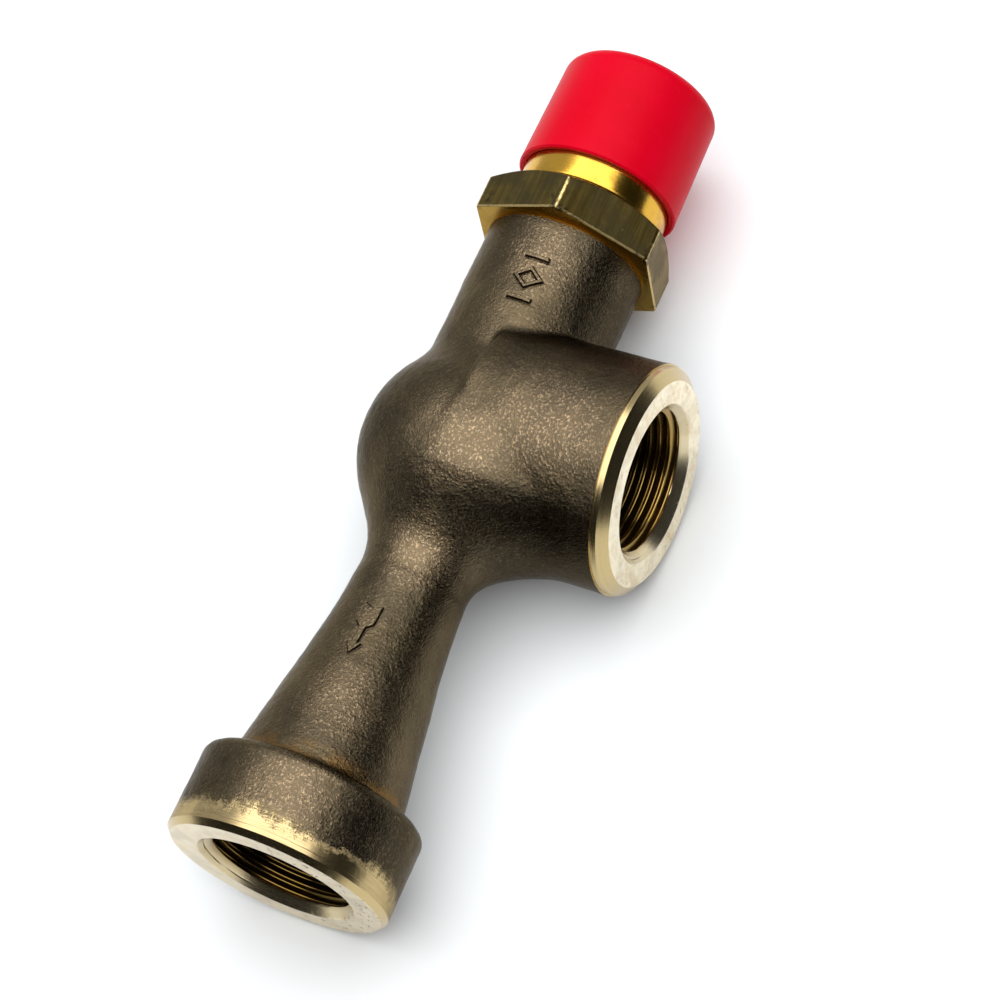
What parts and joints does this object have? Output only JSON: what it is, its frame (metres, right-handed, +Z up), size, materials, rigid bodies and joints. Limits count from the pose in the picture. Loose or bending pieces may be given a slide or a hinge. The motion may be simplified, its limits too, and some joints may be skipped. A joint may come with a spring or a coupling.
{
  "type": "pressure relief valve",
  "caption": "Cast bronze angle relief valve with a tapered outlet tail, threaded side inlet, sprung piston, brass hex bonnet and red push-on cap over the adjuster.",
  "frame": {"origin": "centre of the outlet port at its face, on the main axis", "axes": "+X along the main axis from the outlet to the cap, -Y out of the inlet port, +Z up with the valve lying on its side"},
  "size_m": [0.156, 0.0516, 0.04],
  "materials": {
    "cast_bronze": "sand cast, brown patina, with bright turned port rims",
    "machined_brass": "turned",
    "bonnet_brass": "turned and milled, slightly tarnished",
    "seal_rubber": "satin",
    "plain_steel": "plain stainless",
    "spring_steel": "drawn wire",
    "cap_plastic": "semi-gloss"
  },
  "bodies": {
    "housing": {"valve_body": "cast_bronze", "seat_ring": "machined_brass", "seat_o_ring": "seal_rubber", "guide_sleeve": "machined_brass", "sleeve_o_ring": "seal_rubber", "piston_seal": "seal_rubber", "bonnet": "bonnet_brass", "bonnet_o_ring": "seal_rubber", "screw_o_ring": "seal_rubber", "spring": "spring_steel"},
    "piston_set": {"piston": "machined_brass", "seat_disc": "seal_rubber", "disc_washer": "plain_steel", "disc_screw": "plain_steel", "lower_spring_plate": "plain_steel"},
    "spring_seat": {"upper_spring_button": "plain_steel", "thrust_ball": "plain_steel"},
    "screw": {"adjusting_screw": "plain_steel"},
    "washer": {"lock_washer": "plain_steel"},
    "nut": {"lock_nut": "plain_steel"},
    "cap": {"protective_cap": "cap_plastic"}
  },
  "joints": [
    {"name": "piston_lift", "type": "slide", "parent": "housing", "child": "piston_set", "axis": [1, 0, 0], "range_m": [0, 0.004], "stiffness_N_per_m": 6000, "springref_m": -0.002, "deforming": ["spring"]},
    {"name": "adjuster_advance", "type": "slide", "parent": "housing", "child": "spring_seat", "axis": [1, 0, 0], "range_m": [-0.00125, 0.00125], "deforming": ["spring"]},
    {"name": "screw_turn", "type": "hinge", "parent": "spring_seat", "child": "screw", "pos_m": [0.1453, 0, 0], "axis": [1, 0, 0], "range_deg": [-360, 360]},
    {"name": "nut_back_off", "type": "slide", "parent": "housing", "child": "washer", "axis": [1, 0, 0], "range_m": [0, 0.00125]},
    {"name": "nut_turn", "type": "hinge", "parent": "washer", "child": "nut", "pos_m": [0.1493, 0, 0], "axis": [1, 0, 0], "range_deg": [0, 360]},
    {"name": "cap_pull", "type": "slide", "parent": "housing", "child": "cap", "axis": [1, 0, 0], "range_m": [0, 0.03]}
  ],
  "couplings": [
    {"joint": "screw_turn", "follows": "adjuster_advance", "rad_per_m": 5026.5},
    {"joint": "nut_turn", "follows": "nut_back_off", "rad_per_m": 5026.5}
  ]
}
